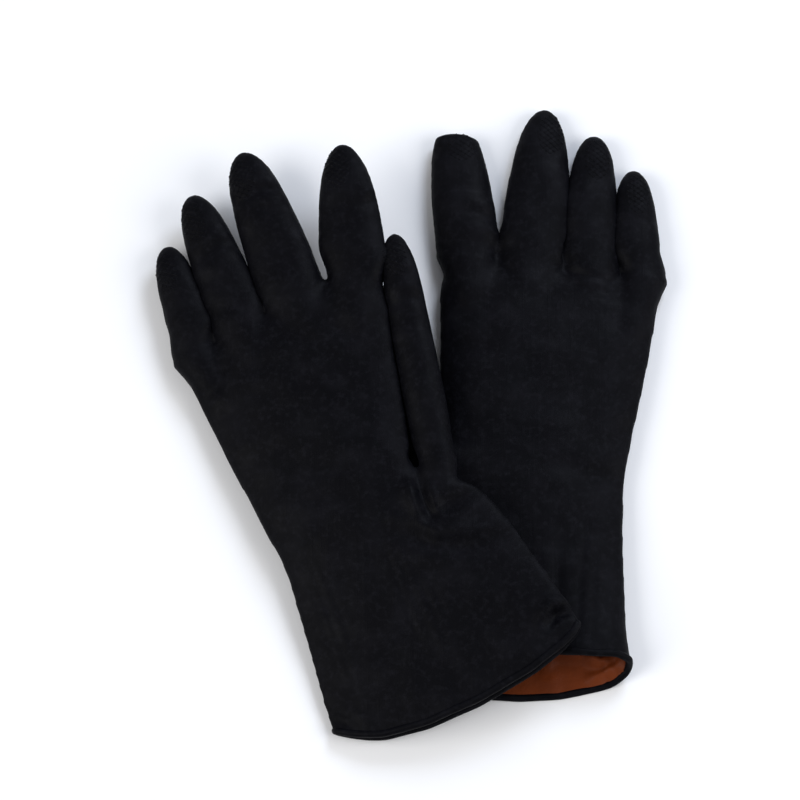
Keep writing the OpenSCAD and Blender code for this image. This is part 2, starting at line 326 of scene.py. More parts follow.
def hand_scale(side, y):
    """How much wider than drawn the hand is at y, in millimetres."""
    own = sizes()
    hem = own.flat_hem_width / MM / DRAWN["flat"]
    if not LAY[side]["upper"]:
        hem = own.open_hem_width / MM / DRAWN["open"]
    wrist = own.wrist_width / MM / DRAWN["wrist"]
    return np.interp(y, [-DRAWN["cuff"], 0, DRAWN["palm"]], [hem, wrist, 1])


def hand_rings(side):
    """Closely spaced rings of the hand and cuff, from past the hem to the webs of the fingers."""
    lay = LAY[side]
    rings = []
    for y in np.unique(np.concatenate([np.linspace(-130, 132.5, 132), [-6, -1, 6.5, 10.5, 17]])):
        little = line_at(lay["little_edge"], y) * hand_scale(side, y)
        thumb = line_at(lay["thumb_edge"], y) * hand_scale(side, y)
        tall, wedge = line_at(lay["height"], y), line_at(lay["lopsided"], y)
        middle = (thumb - little) / 2
        square = line_at(lay["square"], y)
        rings.append(section(
            (middle, drawn_to_real(y)), (thumb + little) / 2, 0, 0, tall, wedge, 112, square))
    return rings


def drawn_to_real(y):
    """Stretches a drawn y to the palm's and the cuff's own lengths."""
    palm = sizes().palm_length / MM
    if y > 0:
        return y * palm / DRAWN["palm"] if y < DRAWN["palm"] else y - DRAWN["palm"] + palm
    return y * sizes().cuff_length / MM / DRAWN["cuff"]


def hem_line(side, x, z):
    """y of the hem at x and height z. The top of the open hem stands back from its bottom."""
    lay = LAY[side]
    stretch = sizes().cuff_length / MM / DRAWN["cuff"]
    x = x / hand_scale(side, -DRAWN["cuff"])
    low = line_at(lay["hem"], x) * stretch
    if lay["hem_top"] is None:
        return low
    high = line_at(lay["hem_top"], x) * stretch
    little, thumb = line_at(lay["little_edge"], -119), line_at(lay["thumb_edge"], -119)
    along = np.clip((x - (thumb - little) / 2) / ((thumb + little) / 2), -1, 1)
    crown = line_at(lay["height"], -119) * (1 - line_at(lay["lopsided"], -119) * along)
    return low + (high - low) * ease(z / crown)


# ---------------------------------------------------------------- welding and smoothing

def welded(parts, grid):
    """Closed tubes welded into one skin. Vertices, quads and edges come back as arrays."""
    verts, faces, first = [], [], 0
    for v, f in parts:
        verts.append(v)
        faces += [tuple(i + first for i in face) for face in f]
        first += len(v)
    mesh = bpy.data.meshes.new("weld")
    mesh.from_pydata((np.concatenate(verts) * MM).tolist(), [], faces)
    ob = bpy.data.objects.new("weld", mesh)
    bpy.context.scene.collection.objects.link(ob)
    mod = ob.modifiers.new("weld", "REMESH")
    mod.mode = "VOXEL"
    mod.voxel_size = grid
    skin = ob.evaluated_get(bpy.context.evaluated_depsgraph_get()).to_mesh()
    points = np.zeros(len(skin.vertices) * 3)
    skin.vertices.foreach_get("co", points)
    corners = np.zeros(len(skin.loops), np.int64)
    skin.loops.foreach_get("vertex_index", corners)
    edges = np.zeros(len(skin.edges) * 2, np.int64)
    skin.edges.foreach_get("vertices", edges)
    if len(corners) != 4 * len(skin.polygons):
        raise RuntimeError("the weld gave faces that are not quads")
    bpy.data.objects.remove(ob)
    bpy.data.meshes.remove(mesh)
    return points.reshape(-1, 3) / MM, corners.reshape(-1, 4), edges.reshape(-1, 2)


def relax(points, edges, rounds, amount=0.5, keep=None):
    """Moves each vertex towards the mean of its neighbours. keep is a share per vertex."""
    n = len(points)
    degree = np.bincount(edges.ravel(), minlength=n)[:, None]
    weight = amount if keep is None else amount * (1 - keep)[:, None]
    for _ in range(rounds):
        total = np.zeros_like(points)
        for c in range(3):
            total[:, c] = (
                np.bincount(edges[:, 0], points[edges[:, 1], c], n)
                + np.bincount(edges[:, 1], points[edges[:, 0], c], n))
        points = points + weight * (total / np.maximum(degree, 1) - points)
    return points


def normals_of(points, quads):
    """Vertex normals, weighted by the faces' areas."""
    d1 = points[quads[:, 2]] - points[quads[:, 0]]
    d2 = points[quads[:, 3]] - points[quads[:, 1]]
    face = np.cross(d1, d2)
    out = np.zeros_like(points)
    for k in range(4):
        for c in range(3):
            out[:, c] += np.bincount(quads[:, k], face[:, c], len(points))
    return out / np.maximum(np.linalg.norm(out, axis=1, keepdims=True), 1e-12)


def drop_unused(points, quads, *extra):
    used = np.unique(quads)
    place = np.full(len(points), -1)
    place[used] = np.arange(len(used))
    return (points[used], place[quads], *[e[used] for e in extra])


def open_edges(quads):
    """Directed edges that only one face uses."""
    a = quads.ravel()
    b = np.roll(quads, -1, axis=1).ravel()
    size = int(quads.max()) + 1
    lone = ~np.isin(b * size + a, a * size + b)
    return np.stack([a[lone], b[lone]], axis=1)


def stall_axis(side, name, fanned):
    """Root and lean in radians of a stall, fanned out or as it lies."""
    lay = LAY[side]
    lean = lay[name][3] + (lay[name][4] if fanned else 0)
    root = lay["roots"][name]
    if name != "thumb":
        root = (root, sizes().palm_length / MM)
    return np.array(root, float), math.radians(lean)


def along_and_across(side, name, points, fanned):
    root, lean = stall_axis(side, name, fanned)
    d = points[:, :2] - root
    return d @ [math.sin(lean), math.cos(lean)], d @ [math.cos(lean), -math.sin(lean)]


def part_of(side, points):
    """Number of the stall that each point of the fanned glove is on: 0 hand, 1 thumb, 2 on."""
    palm = sizes().palm_length / MM
    part = np.zeros(len(points), int)
    ahead = points[:, 1] > palm + CUT_AHEAD["finger"]
    roots = [stall_axis(side, name, True) for name in FINGERS]
    middles = []
    for root, lean in roots:
        middles.append(root[0] + (points[:, 1] - palm) * math.tan(lean))
    nearest = np.argmin(np.abs(np.stack(middles) - points[:, 0]), axis=0)
    part[ahead] = nearest[ahead] + 2
    along, across = along_and_across(side, "thumb", points, True)
    half = LAY[side]["thumb"][0] / 2 + 5
    part[(along > CUT_AHEAD["thumb"]) & (np.abs(across) < half)] = 1
    return part


def closed_up(side, points, part):
    """The fanned glove with its stalls turned back to the way they lie."""
    points = points.copy()
    for number, name in enumerate(STALLS, 1):
        mine = part == number
        root, _ = stall_axis(side, name, True)
        along, _ = along_and_across(side, name, points, True)
        turn = -math.radians(LAY[side][name][4]) * ease((along - cut_ahead(name) + 5) / 22)
        d = points[:, :2] - root
        x = root[0] + d[:, 0] * np.cos(turn) + d[:, 1] * np.sin(turn)
        y = root[1] - d[:, 0] * np.sin(turn) + d[:, 1] * np.cos(turn)
        points[mine, 0], points[mine, 1] = x[mine], y[mine]
    if side == "left":
        folded_tip(side, points, part == STALLS.index("index") + 1)
    return points


def folded_tip(side, points, mine):
    """Presses the end of the left index finger flat, where its tip is folded over."""
    _, lean = stall_axis(side, "index", False)
    along, across = along_and_across(side, "index", points, False)
    past = np.clip(along - BLUNT_FROM - 0.16 * across, 0, None) * (1 - BLUNT_SHARE)
    move = np.where(mine, past, 0)
    points[:, 0] -= move * math.sin(lean)
    points[:, 1] -= move * math.cos(lean)


# ---------------------------------------------------------------- creases and dents

# Creases as lines of points in a glove's own frame, in millimetres, with the width of the fold
# and its depth. A negative depth is a ridge.
CREASES = {
    "right": [
        (((31.5, 3), (30.3, -4), (29.2, -11), (29, -20)), 2.6, 4.2),
        (((27, 6), (24.5, -8), (25, -17)), 4.5, -1.6),
        (((29.4, -19), (42, -18), (54, -17), (60, -21)), 5.0, 2.8),
        (((10, -12), (20, -21), (29, -31), (50, -39), (66, -42)), 4.0, -2.2),
        (((12, -18), (24, -33), (40, -45)), 5.0, 1.2),
        (((0, -12), (-4, -45), (-9, -84)), 1.3, 0.28),
        (((4, -16), (1, -50), (-2, -90)), 1.3, 0.25),
        (((8, -14), (7, -52), (5, -98)), 1.3, 0.28),
        (((11, -22), (12, -60), (12, -92)), 1.2, 0.18),
        (((-43, -4), (-47, -40), (-52, -86)), 1.4, 0.25),
        (((-48, -12), (-53, -52), (-58, -90)), 1.3, 0.2),
        (((-38, -10), (-41, -50), (-44, -80)), 1.3, 0.18),
        (((74, -103), (66, -101), (59, -105)), 2.4, 3.4),
        (((76, -97), (66, -94), (57, -98)), 3.5, -1.8),
        (((-74, -92), (-66, -99), (-60, -108)), 3.0, 1.5),
        (((-62, 104), (-48, 108), (-36, 117)), 4.0, 1.3),
        (((28, 118), (30, 104), (40, 92)), 5.0, 0.9),
        (((-8, 118), (-16, 108), (-30, 100)), 5.0, 0.8),
        (((58, 70), (40, 60), (12, 56)), 7.0, 0.7),
    ],
    "left": [
        (((-4, 131), (-18, 128), (-34, 126)), 2.0, 1.3),
        (((-6, 124), (-20, 120), (-36, 119)), 3.0, 1.1),
        (((-2, 119), (4, 112), (20, 108)), 6.0, 0.7),
        (((62, 98), (45, 101), (30, 110)), 5.0, 0.8),
        (((60, 72), (40, 78), (14, 74)), 7.0, 0.8),
        (((56, 34), (38, 30), (16, 34)), 7.0, 0.8),
        (((-52, 12), (-30, 8), (-10, 14)), 6.0, 0.8),
        (((-46, -30), (-49, -60), (-53, -92)), 1.4, 0.25),
        (((-40, -34), (-42, -62), (-45, -90)), 1.3, 0.2),
        (((-34, -20), (-34, -60), (-36, -88)), 1.6, 0.5),
        (((-20, -34), (-22, -66), (-22, -90)), 2.6, 0.6),
    ],
}
# Folds across each stall: how far from its root, depth and width, in millimetres
FOLDS = {
    "right": {
        "index": ((53, 1.5, 3.6), (42, 0.9, 3.2), (24, 0.8, 4)),
        "middle": ((83, 1.6, 3.6), (72, 0.9, 4), (46, 0.5, 5)),
        "ring": ((64, 1.2, 3.6), (49, 0.9, 4), (30, 0.5, 4)),
        "little": ((42, 0.6, 4), (18, 0.8, 5)),
        "thumb": ((117, 0.9, 3.6), (101, 1.3, 4), (60, 0.5, 6)),
    },
    "left": {
        "index": ((80, 1.0, 3.0), (60, 0.7, 4), (40, 1.0, 4.5), (22, 0.8, 5)),
        "middle": ((78, 0.9, 5), (52, 0.7, 5), (26, 0.6, 5)),
        "ring": ((60, 0.8, 4), (36, 0.5, 4)),
        "little": ((48, 0.6, 4), (16, 0.9, 5)),
        "thumb": ((60, 0.5, 5),),
    },
}


def line_distance(points, line):
    """Distance in plan of each point from a line of points, and how far along it lies, 0 to 1."""
    best = np.full(len(points), np.inf)
    share = np.zeros(len(points))
    line = np.array(line, float)
    lengths = np.linalg.norm(np.diff(line, axis=0), axis=1)
    total, before = lengths.sum(), 0.0
    for a, b, size in zip(line[:-1], line[1:], lengths):
        t = np.clip((points[:, :2] - a) @ (b - a) / size ** 2, 0, 1)
        d = np.linalg.norm(points[:, :2] - (a + t[:, None] * (b - a)), axis=1)
        near = d < best
        best[near] = d[near]
        share[near] = ((before + t * size) / total)[near]
        before += size
    return best, share


def creased(side, points, normals):
    """Depth to press each point in, from the glove's creases."""
    top = np.clip(normals[:, 2] * 1.6, 0, 1)
    depth = np.zeros(len(points))
    for line, width, deep in CREASES[side]:
        d, share = line_distance(points, line)
        fade = np.sin(np.pi * np.clip(share * 0.9 + 0.05, 0, 1)) ** 0.6
        depth += deep * np.exp(-(d / width) ** 2) * fade * top
        depth -= 0.35 * deep * np.exp(-((d - 2.1 * width) / width) ** 2) * fade * top
    return depth


def soft_noise(points, size, seed):
    """Smooth noise over the points, with hills about size apart."""
    shift = Vector((seed * 17.3, seed * 5.1, seed * 9.7))
    return np.array([noise.noise(Vector(p) / size + shift) for p in points])


def rippled(side, points, normals, part):
    """Depth of the soft dents that a limp, lightly filled glove shows."""
    seed = 3 if side == "right" else 8
    top = np.clip(normals[:, 2] * 1.5 - 0.1, 0, 1)
    depth = (0.35 + 0.75 * top) * soft_noise(points * [1, 1, 0.3], 34, seed)
    depth += (0.1 + 0.4 * top) * soft_noise(points * [1, 1.6, 0.3], 15, seed + 1)
    for number, name in enumerate(STALLS, 1):
        mine = part == number
        if not mine.any():
            continue
        along, across = along_and_across(side, name, points, False)
        length = LAY[side][name][2]
        wave = np.sin(along / length * 2 * np.pi * 2.2 + number * 1.9 + seed)
        fade = ease(along / 18) * (1 - ease((along / length - 0.72) / 0.15))
        dent = 0.4 * wave * fade * (1 - 0.5 * (across / 17) ** 2)
        for at, deep, width in FOLDS[side][name]:
            wander = 1.6 * np.sin(across * 0.21 + at) + 0.10 * across * (-1) ** number
            d = along - at - wander
            fold = np.exp(-(d / width) ** 2) - 0.55 * np.exp(-((d - 1.9 * width) / width) ** 2)
            dent += deep * fold * np.clip(0.35 + 1.2 * np.sin(across * 0.09 + at * 0.7), 0.15, 1)
        depth += np.where(mine, dent * top, 0)
    return depth


# ---------------------------------------------------------------- the skin of a glove

SHAPES = {}


def glove_shape(side):
    """Points, normals, quads and stall numbers of a glove's outer skin, in the row frame."""
    if side in SHAPES:
        return SHAPES[side]
    lay = LAY[side]
    parts = [tube(hand_rings(side))]
    for name in STALLS:
        width, height, length, _, _, blunt = lay[name]
        root, lean = stall_axis(side, name, True)
        parts.append(tube(stall_rings(root, lean, length, width, height, blunt, name != "thumb")))
    points, quads, edges = welded(parts, sizes().weld_grid)
    points = relax(points, edges, 8)
    part = part_of(side, points)
    points = closed_up(side, points, part)
    face_part = part_of_faces(quads, part)
    normals = normals_of(points, quads)
    if normals[np.argmax(points[:, 2]), 2] < 0:
        quads = quads[:, ::-1]
        normals = -normals
    depth = creased(side, points, normals) + rippled(side, points, normals, part)
    points = points - normals * depth[:, None]
    points = relax(points, edges, 2)
    points[:, 2] = np.maximum(points[:, 2], 0)

    centre = points[quads].mean(axis=1)
    keep = centre[:, 1] > hem_line(side, centre[:, 0], centre[:, 2])
    quads, face_part = quads[keep], face_part[keep]
    points, quads, part = drop_unused(points, quads, part)
    rim = np.unique(open_edges(quads))
    points[rim, 1] = hem_line(side, points[rim, 0], points[rim, 2])
    normals = normals_of(points, quads)
    origin, axes = hand_frame(side)
    row = origin + (points * MM) @ axes
    row_normals = normals @ axes
    if not lay["upper"]:
        quads = quads[:, ::-1]
    row[:, 2] = np.maximum(row[:, 2], 0)
    SHAPES[side] = {
        "points": row, "normals": row_normals, "quads": quads, "part": face_part,
        "own": points,
    }
    return SHAPES[side]


def part_of_faces(quads, part):
    """Part of each face: the median of the part numbers at its corners.

    Where two corners are on the hand and two on a finger it lands between their numbers.
    """
    corners = part[quads]
    return np.median(corners, axis=1).astype(int)


# ---------------------------------------------------------------- materials

def new_material(name):
    material = bpy.data.materials.new(name)
    material.use_nodes = True
    tree = material.node_tree
    return material, tree, tree.nodes["Principled BSDF"]


def add_node(tree, kind, **values):
    node = tree.nodes.new(kind)
    for key, value in values.items():
        if key.startswith("in_"):
            node.inputs[key[3:].replace("_", " ")].default_value = value
        else:
            setattr(node, key, value)
    return node


def ramp(tree, source, low, high, low_value, high_value):
    node = add_node(tree, "ShaderNodeMapRange")
    tree.links.new(source, node.inputs["Value"])
    for name, value in (("From Min", low), ("From Max", high), ("To Min", low_value), ("To Max", high_value)):
        node.inputs[name].default_value = value
    return node.outputs["Result"]


def noise_of(tree, where, scale, detail=4.0, stretch=None, turn=0.0):
    source = where
    if stretch:
        mapping = add_node(tree, "ShaderNodeMapping")
        mapping.inputs["Scale"].default_value = stretch
        mapping.inputs["Rotation"].default_value = (0, 0, turn)
        tree.links.new(where, mapping.inputs["Vector"])
        source = mapping.outputs["Vector"]
    node = add_node(tree, "ShaderNodeTexNoise", in_Scale=scale, in_Detail=detail, in_Roughness=0.6)
    tree.links.new(source, node.inputs["Vector"])
    return node.outputs["Fac"]


def bump(tree, shader, height, strength, distance, before=None):
    node = add_node(tree, "ShaderNodeBump", in_Strength=strength, in_Distance=distance)
    tree.links.new(height, node.inputs["Height"])
    if before:
        tree.links.new(before.outputs["Normal"], node.inputs["Normal"])
    tree.links.new(node.outputs["Normal"], shader.inputs["Normal"])
    return node


def blend_colours(tree, factor, first, second):
    node = add_node(tree, "ShaderNodeMix", data_type="RGBA")
    tree.links.new(factor, node.inputs["Factor"])
    for socket, value in (("A", first), ("B", second)):
        put = [s for s in node.inputs if s.name == socket and s.type == "RGBA"][0]
        if isinstance(value, bpy.types.NodeSocket):
            tree.links.new(value, put)
        else:
            put.default_value = (*value, 1)
    return [s for s in node.outputs if s.type == "RGBA"][0]


def outer_rubber(side):
    """Matte black dipped rubber with a dry bloom, scuffs and fine creases along the cuff."""
    name = "outer_rubber_" + side
    if name in bpy.data.materials:
        return bpy.data.materials[name]
    material, tree, shader = new_material(name)
    where = add_node(tree, "ShaderNodeTexCoord").outputs["Object"]
    _, axes = hand_frame(side)
    turn = -math.atan2(axes[1][0], axes[1][1])
    colour = finish().outer_colour
    bloom = ramp(tree, noise_of(tree, where, 55, 6), 0.45, 0.8, 0, 1)
    dust = ramp(tree, noise_of(tree, where, 300, 3), 0.5, 0.85, 0, 1)
    base = blend_colours(tree, bloom, tuple(colour), tuple(c * 1.9 + 0.0012 for c in colour))
    base = blend_colours(tree, dust, base, tuple(c * 2.4 + 0.002 for c in colour))
    tree.links.new(base, shader.inputs["Base Color"])
    matte = finish().roughness
    rough = ramp(tree, noise_of(tree, where, 60, 5), 0.3, 0.7, matte - 0.08, matte + 0.1)
    tree.links.new(rough, shader.inputs["Roughness"])
    shader.inputs["Specular IOR Level"].default_value = 0.045
    grain = bump(tree, shader, noise_of(tree, where, 1900, 3), 0.22, 0.0004)
    lines = ramp(tree, noise_of(tree, where, 1.0, 3, stretch=(420, 14, 14), turn=turn), 0.52, 0.72, 0, 1)
    bump(tree, shader, lines, 0.10, 0.0008, grain)
    return material


def inner_rubber():
    """Orange dipped rubber, satin, a little darker in random patches."""
    name = "lining_rubber"
    if name in bpy.data.materials:
        return bpy.data.materials[name]
    material, tree, shader = new_material(name)
    where = add_node(tree, "ShaderNodeTexCoord").outputs["Object"]
    colour = tuple(finish().lining_colour)
    patches = ramp(tree, noise_of(tree, where, 45, 5), 0.35, 0.7, 0, 1)
    base = blend_colours(tree, patches, colour, tuple(c * 0.72 for c in colour))
    tree.links.new(base, shader.inputs["Base Color"])
    rough = ramp(tree, noise_of(tree, where, 90, 4), 0.3, 0.7, 0.42, 0.6)
    tree.links.new(rough, shader.inputs["Roughness"])
    shader.inputs["Specular IOR Level"].default_value = 0.1
    folds = bump(tree, shader, noise_of(tree, where, 70, 4), 0.5, 0.002)
    bump(tree, shader, noise_of(tree, where, 1500, 2), 0.2, 0.0004, folds)
    return material


def floor_paint():
    """Plain pale floor with a very faint tooth."""
    material, tree, shader = new_material("floor_paint")
    where = add_node(tree, "ShaderNodeTexCoord").outputs["Object"]
    colour = tuple(bpy.context.scene.glove_stage.floor_colour)
    tone = ramp(tree, noise_of(tree, where, 3, 2), 0.3, 0.7, 0, 1)
    base = blend_colours(tree, tone, colour, tuple(c * 0.995 for c in colour))
    tree.links.new(base, shader.inputs["Base Color"])
    shader.inputs["Roughness"].default_value = 0.9
    shader.inputs["Specular IOR Level"].default_value = 0.1
    return material


# ---------------------------------------------------------------- pieces

def new_piece(name, points, faces, material, normals=None):
    mesh = bpy.data.meshes.new(name)
    mesh.from_pydata(np.asarray(points).tolist(), [], [tuple(f) for f in faces])
    mesh.polygons.foreach_set("use_smooth", [True] * len(mesh.polygons))
    mesh.materials.append(material)
    mesh.update()
    if normals is not None:
        mesh.normals_split_custom_set_from_vertices(np.asarray(normals).tolist())
    ob = bpy.data.objects.new(name, mesh)
    bpy.context.scene.collection.objects.link(ob)
    return ob


def layer_piece(name, shape, number, outside, inside, material, bunched=None):
    """One closed sheet of rubber between two depths under the skin, for one stall or the hand."""
    points, quads, normals, own = drop_unused(
        shape["points"], shape["quads"][shape["part"] == number], shape["normals"], shape["own"])
    n = len(points)
    folds = 0 if bunched is None else bunched(own, normals)[:, None] * MM
    out, deep = points - normals * outside, points - normals * (inside + folds)
    rim = open_edges(quads)
    walls = np.stack([rim[:, 1], rim[:, 0], rim[:, 0] + n, rim[:, 1] + n], axis=1)
    faces = np.concatenate([quads, quads[:, ::-1] + n, walls])
    inner = normals if bunched is None else normals_of(deep, quads)
    return new_piece(name, np.concatenate([out, deep]), faces.tolist(), material,
                     np.concatenate([normals, -inner]))


def attach(ob, side, name):
    """Lets the hand's piece ride on the hand; a stall's piece only has its transform baked in."""
    if name == "hand":
        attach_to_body(ob, side + "_hand")
        return
    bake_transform(ob)


# Folds of the bunched lining at the open hem, on the lower layer: line, width and height
LINING_FOLDS = (
    (((14, -99), (-12, -96), (-36, -94), (-56, -89)), 3.0, 4.5),
    (((-38, -92), (-50, -97), (-61, -93)), 3.4, 5.5),
    (((-64, -95), (-56, -101), (-46, -107)), 3.0, 4.0),
    (((-26, -112), (-21, -103), (-22, -94)), 4.5, 2.2),
    (((-66, -84), (-54, -84), (-40, -78)), 4.5, 5.0),
)


def hem_folds(own, normals):
    """How far the lining bulges in, in millimetres, where it is bunched at the open hem."""
    uneven = 1 + 0.9 * soft_noise(own, 9, 5)
    low = np.clip(-normals[:, 2] * 1.5 + 0.4, 0, 1)
    bulge = np.zeros(len(own))
    for line, width, height in LINING_FOLDS:
        d, share = line_distance(own, line)
        fade = np.sin(np.pi * np.clip(share * 0.84 + 0.08, 0, 1)) ** 0.7
        bulge = np.maximum(bulge, height * np.exp(-(d / width) ** 2) * fade * low)
    near_end = ease((-40 - own[:, 0]) / 16) * ease((-76 - own[:, 1]) / 12)
    bulge += near_end * np.abs(soft_noise(own * [1, 0.5, 1], 10, 7)) * 2.5
    return np.clip(bulge * uneven, 0, 7)


class GLOVES_OT_skins(bpy.types.Operator):
    """Outer black rubber of both gloves, cut where the fingers and the thumb bend"""
    bl_idname = "gloves.skins"
    bl_label = "Outer skins"

    def execute(self, context):
        for side in SIDES:
            shape = glove_shape(side)
            for number, name in enumerate(("hand",) + STALLS):
                ob = layer_piece(f"{side}_{name}_skin", shape, number, 0.0,
                                 sizes().skin_thickness, outer_rubber(side))
                attach(ob, side, name)
                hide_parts(f"{side}_{name}_shell")
        return {"FINISHED"}


class GLOVES_OT_linings(bpy.types.Operator):
    """Orange inner rubber of both gloves, under the skin"""
    bl_idname = "gloves.linings"
    bl_label = "Linings"

    def execute(self, context):
        gap = 0.1 * MM
        depth = sizes().skin_thickness + gap
        for side in SIDES:
            shape = glove_shape(side)
            for number, name in enumerate(("hand",) + STALLS):
                bunched = hem_folds if (side, name) == ("left", "hand") else None
                ob = layer_piece(f"{side}_{name}_lining", shape, number, depth,
                                 depth + sizes().lining_thickness, inner_rubber(), bunched)
                attach(ob, side, name)
                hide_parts(f"{side}_{name}_liner")
        return {"FINISHED"}


def hem_loop(shape):
    """Points and inward normals round the open hem, in order, evenly spaced."""
    rim = open_edges(shape["quads"])
    after = {int(a): int(b) for a, b in rim}
    start = int(rim[0, 0])
    loop, at = [start], after[start]
    while at != start:
        loop.append(at)
        at = after[at]
    points, normals = shape["points"][loop], shape["normals"][loop]
    for _ in range(6):
        points = (points + 0.5 * (np.roll(points, 1, 0) + np.roll(points, -1, 0))) / 2
        normals = (normals + 0.5 * (np.roll(normals, 1, 0) + np.roll(normals, -1, 0))) / 2
    steps = np.linalg.norm(np.roll(points, -1, 0) - points, axis=1)
    place = np.concatenate([[0], np.cumsum(steps)])
    spots = np.linspace(0, place[-1], 240, endpoint=False)
    wrap = np.concatenate([points, points[:1]]), np.concatenate([normals, normals[:1]])
    even = [np.stack([np.interp(spots, place, w[:, c]) for c in range(3)], axis=1) for w in wrap]
    return even[0], even[1] / np.linalg.norm(even[1], axis=1, keepdims=True)


class GLOVES_OT_rolls(bpy.types.Operator):
    """Rolled hems round the open cuffs"""
    bl_idname = "gloves.rolls"
    bl_label = "Rolled hems"

    def execute(self, context):
        sides = 16
        for side in SIDES:
            loop, outward = hem_loop(glove_shape(side))
            _, axes = hand_frame(side)
            n = len(loop)
            radius = sizes().roll_thickness / 2
            ahead = np.roll(loop, -1, 0) - np.roll(loop, 1, 0)
            ahead /= np.linalg.norm(ahead, axis=1, keepdims=True)
            out = outward - (outward * ahead).sum(1, keepdims=True) * ahead
            out /= np.linalg.norm(out, axis=1, keepdims=True)
            down = np.cross(ahead, out)
            if (down @ axes[1]).mean() > 0:
                down = -down
            uneven = 1 + 0.07 * soft_noise(loop / MM, 9, 4) + 0.05 * soft_noise(loop / MM, 30, 6)
            centre = loop - out * radius * 0.35 + down * radius * 0.45
            rings = []
            for j in range(sides):
                a = 2 * math.pi * j / sides
                lip = 1 - 0.10 * max(0.0, math.cos(a - 2.4)) ** 6
                r = (radius * uneven * lip)[:, None]
                rings.append(centre + r * (math.cos(a) * out + math.sin(a) * down))
            points = np.stack(rings, axis=1).reshape(-1, 3)
            points[:, 2] = np.maximum(points[:, 2], 0)
            faces = []
            for k in range(n):
                for j in range(sides):
                    a, b = k * sides + j, k * sides + (j + 1) % sides
                    c, d = (k + 1) % n * sides + (j + 1) % sides, (k + 1) % n * sides + j
                    faces.append((a, b, c, d))
            ob = new_piece(f"{side}_cuff_bead", points, faces, outer_rubber(side))
            flip_if_inside_out(ob)
            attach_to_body(ob, side + "_hand")
            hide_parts(side + "_cuff_roll")
        return {"FINISHED"}


def flip_if_inside_out(ob):
    """Turns the faces of a closed mesh outward."""
    mesh = ob.data
    volume = 0.0
    for polygon in mesh.polygons:
        corners = [mesh.vertices[i].co for i in polygon.vertices]
        for k in range(1, len(corners) - 1):
            volume += corners[0].dot(corners[k].cross(corners[k + 1]))
    if volume < 0:
        mesh.flip_normals()


# ---------------------------------------------------------------- fingertip grips

# Grip of each stall: distance of its middle from the tip, offset to the thumb side, half length
# and half width, in millimetres
GRIPS = {
    "right": {
        "thumb": (17, -0.5, 13, 7),
        "index": (17, -3.5, 14, 8),
        "middle": (18, -4.5, 14, 8.5),
        "ring": (18, -3.5, 14, 8),
        "little": (18, -3.5, 13.5, 7),
    },
    "left": {
        "thumb": (17, 0, 13, 7),
        "index": (20, -2.5, 9.5, 8.5),
        "middle": (18, -5, 14, 8.5),
        "ring": (18, -2.5, 14, 7.5),
        "little": (18, -2, 13.5, 7),
    },
}
GRIP_STEP = 0.34


def grip_relief(u, v, half_long, half_wide):
    """Height of the grip, 0 to 1, at u along and v across: ribs both ways with studs on top."""
    pitch = finish().grip_spacing / MM
    p, q = (u + 0.82 * v) / pitch, (u - 0.82 * v) / pitch
    near_p, near_q = np.abs(p - np.round(p)), np.abs(q - np.round(q))
    rib = np.maximum(1 - near_p / 0.17, 1 - near_q / 0.17)
    stud = 1 - np.hypot(near_p, near_q) / 0.28
    relief = 0.60 * ease(rib) + 0.55 * ease(stud)
    rim = 1 - np.hypot(u / half_long, v / half_wide)
    return relief * ease(rim / 0.10), rim


